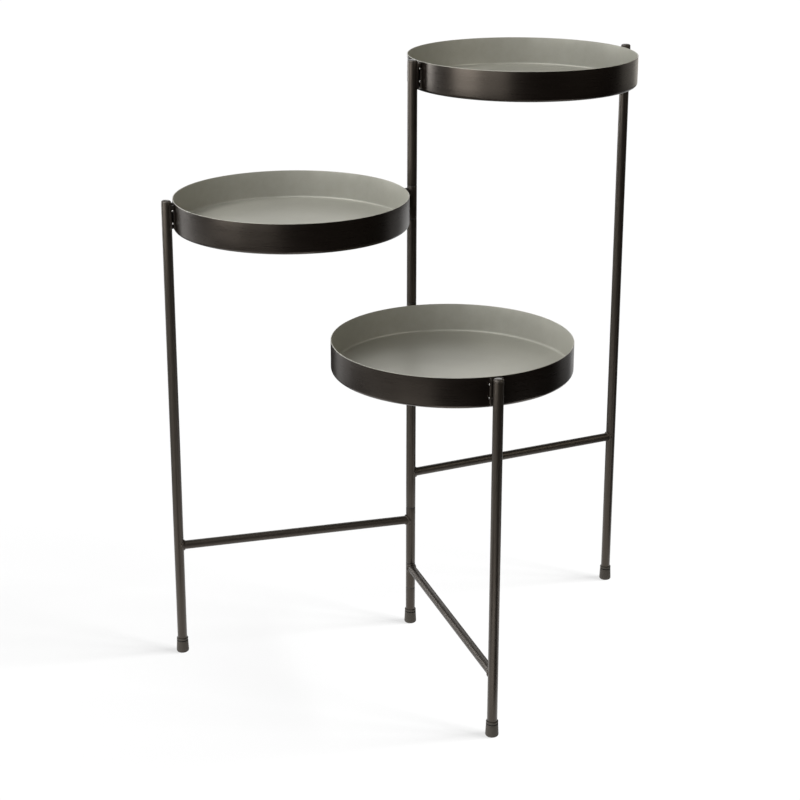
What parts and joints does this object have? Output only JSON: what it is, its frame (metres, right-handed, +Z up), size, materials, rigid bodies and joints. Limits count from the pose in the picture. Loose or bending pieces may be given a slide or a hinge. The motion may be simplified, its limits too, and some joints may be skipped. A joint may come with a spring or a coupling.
{
  "type": "tiered plant stand",
  "caption": "Folding plant stand in black tube: round dishes at stepped heights, each hung between a shared centre post and its own leg.",
  "frame": {"origin": "on the floor, on the axis of the centre post, at the middle of its foot's underside", "axes": "+Z up along the post; +X from the post towards the tall leg; right-handed"},
  "size_m": [0.5755, 0.4446, 0.6945],
  "materials": {
    "black_coat": "satin powder coat, brown-black",
    "dish_coat": "satin: warm grey inside, brown-black outside",
    "foot_rubber": "matte moulded rubber",
    "end_cap": "satin moulded plastic, black",
    "bare_steel": "bright drawn tube",
    "washer_nylon": "black nylon"
  },
  "bodies": {
    "tall_frame": {"post_core_rod": "bare_steel", "post_bottom_tube": "black_coat", "post_lower_tube": "black_coat", "post_middle_tube": "black_coat", "post_upper_tube": "black_coat", "post_top_cap": "end_cap", "post_foot": "foot_rubber", "sleeve_washers": "washer_nylon", "tall_leg": "black_coat", "tall_leg_cap": "end_cap", "tall_leg_foot": "foot_rubber", "tall_crossbar": "black_coat", "tall_frame_hanger_pins": "black_coat"},
    "middle_frame": {"middle_lower_sleeve": "black_coat", "middle_upper_sleeve": "black_coat", "middle_leg": "black_coat", "middle_leg_cap": "end_cap", "middle_leg_foot": "foot_rubber", "middle_crossbar": "black_coat", "middle_frame_hanger_pins": "black_coat"},
    "low_frame": {"low_lower_sleeve": "black_coat", "low_upper_sleeve": "black_coat", "low_leg": "black_coat", "low_leg_cap": "end_cap", "low_leg_foot": "foot_rubber", "low_crossbar": "black_coat", "low_frame_hanger_pins": "black_coat"},
    "top_dish": {"top_tray": "dish_coat", "top_tray_hangers": "black_coat"},
    "middle_dish": {"middle_tray": "dish_coat", "middle_tray_hangers": "black_coat"},
    "low_dish": {"low_tray": "dish_coat", "low_tray_hangers": "black_coat"}
  },
  "joints": [
    {"name": "fold_middle", "type": "hinge", "parent": "tall_frame", "child": "middle_frame", "pos_m": [0, 0, 0.1], "axis": [0, 0, 1], "range_deg": [-164, 40]},
    {"name": "fold_low", "type": "hinge", "parent": "tall_frame", "child": "low_frame", "pos_m": [0, 0, 0.06], "axis": [0, 0, 1], "range_deg": [-40, 92]},
    {"name": "lift_top_dish", "type": "slide", "parent": "tall_frame", "child": "top_dish", "axis": [0, 0, 1], "range_m": [0, 0.05]},
    {"name": "lift_middle_dish", "type": "slide", "parent": "middle_frame", "child": "middle_dish", "axis": [0, 0, 1], "range_m": [0, 0.05]},
    {"name": "lift_low_dish", "type": "slide", "parent": "low_frame", "child": "low_dish", "axis": [0, 0, 1], "range_m": [0, 0.05]}
  ]
}
